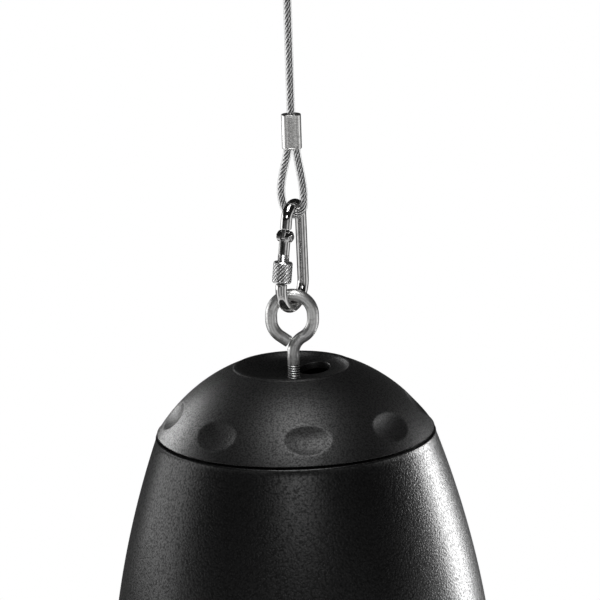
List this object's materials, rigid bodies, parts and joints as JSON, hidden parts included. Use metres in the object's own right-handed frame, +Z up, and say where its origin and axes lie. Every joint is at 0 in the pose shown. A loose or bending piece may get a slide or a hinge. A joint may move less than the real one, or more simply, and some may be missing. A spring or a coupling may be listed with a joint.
{
  "type": "pendant loudspeaker",
  "caption": "Black pendant loudspeaker with a dished, dimpled cap, hung by an eyebolt and a screw-lock carabiner from a jacketed wire rope and a round ceiling plate.",
  "frame": {"origin": "centre of the ceiling plate's upper face, where it meets the ceiling", "axes": "+Z up, the rope hangs along -Z; the eyebolt's ring lies in the XZ plane"},
  "size_m": [0.208, 0.208, 0.4437],
  "materials": {
    "ceiling_steel": "brushed, plated",
    "rope": "stranded steel in a clear jacket",
    "ferrule_nickel": "pressed, satin plated",
    "carabiner_chrome": "polished plating",
    "sleeve_chrome": "knurled",
    "spring_steel": "drawn wire",
    "eyebolt_steel": "satin plated",
    "cap_black": "fine grain",
    "housing_black": "pebble grain",
    "foam": "closed-cell",
    "wadding": "polyester fibre",
    "zinc_steel": "zinc plated",
    "terminal_plastic": "plain",
    "board_laminate": "resin laminate",
    "copper": "enamelled wire",
    "capacitor_film": "wrapped film",
    "resistor_cement": "cement",
    "baffle_plastic": "moulded",
    "grille_steel": "powder coated",
    "frame_steel": "painted sheet",
    "ferrite": "sintered",
    "cone_paper": "pressed pulp",
    "surround_rubber": "moulded",
    "spider_cloth": "resined cloth",
    "dome_cloth": "coated cloth"
  },
  "bodies": {
    "hanger": {"ceiling_plate": "ceiling_steel", "rope_socket": "ceiling_steel", "rope_stop": "ferrule_nickel", "suspension_rope": "rope", "rope_ferrule": "ferrule_nickel", "rope_eye": "rope"},
    "carabiner": {"carabiner_body": "carabiner_chrome", "gate_rivet": "carabiner_chrome"},
    "gate": {"carabiner_gate": "carabiner_chrome", "gate_spring": "spring_steel"},
    "sleeve": {"locking_sleeve": "sleeve_chrome"},
    "speaker": {"eyebolt": "eyebolt_steel", "top_cap": "cap_black", "seal_ring": "foam", "housing": "housing_black", "suspension_bridge": "zinc_steel", "bridge_nut": "zinc_steel", "bridge_screws": "zinc_steel", "terminal_block": "terminal_plastic", "terminal_plug": "terminal_plastic", "crossover_board": "board_laminate", "board_spacers": "terminal_plastic", "board_screws": "zinc_steel", "bass_inductor": "copper", "treble_inductor": "copper", "bass_capacitor": "capacitor_film", "treble_capacitor": "capacitor_film", "resistor": "resistor_cement", "damping_lining": "wadding", "baffle": "baffle_plastic", "baffle_seal": "foam", "baffle_screws": "zinc_steel", "front_ring": "cap_black", "grille": "grille_steel", "grille_clamp": "cap_black", "driver_frame": "frame_steel", "driver_gasket": "foam", "driver_screws": "zinc_steel", "front_plate": "zinc_steel", "magnet": "ferrite", "yoke": "zinc_steel", "surround": "surround_rubber", "spider": "spider_cloth", "tweeter_post": "zinc_steel", "tweeter_cup": "terminal_plastic", "tweeter_dome": "dome_cloth"},
    "cone": {"cone": "cone_paper", "voice_coil": "copper"}
  },
  "joints": [
    {"name": "carabiner_swing", "type": "hinge", "parent": "hanger", "child": "carabiner", "pos_m": [0, 0, -0.1411], "axis": [0.4837, 0.8749, -0.0247], "range_deg": [-20, 20]},
    {"name": "speaker_swing", "type": "hinge", "parent": "carabiner", "child": "speaker", "pos_m": [-0.0028, 0, -0.18955], "axis": [1, 0, 0], "range_deg": [-20, 20]},
    {"name": "gate_hinge", "type": "hinge", "parent": "carabiner", "child": "gate", "pos_m": [-0.00501, -0.00765, -0.15631], "axis": [0.8738, -0.4843, -0.0445], "range_deg": [0, 22], "stiffness_Nm_per_rad": 0.05, "springref_deg": -11.46, "deforming": ["gate_spring"]},
    {"name": "sleeve_travel", "type": "slide", "parent": "gate", "child": "sleeve", "axis": [0.1089, 0.1055, 0.9884], "range_m": [0, 0.005]},
    {"name": "cone_travel", "type": "slide", "parent": "speaker", "child": "cone", "axis": [0, 0, 1], "range_m": [-0.003, 0.003], "stiffness_N_per_m": 2500, "deforming": ["surround", "spider"]}
  ]
}
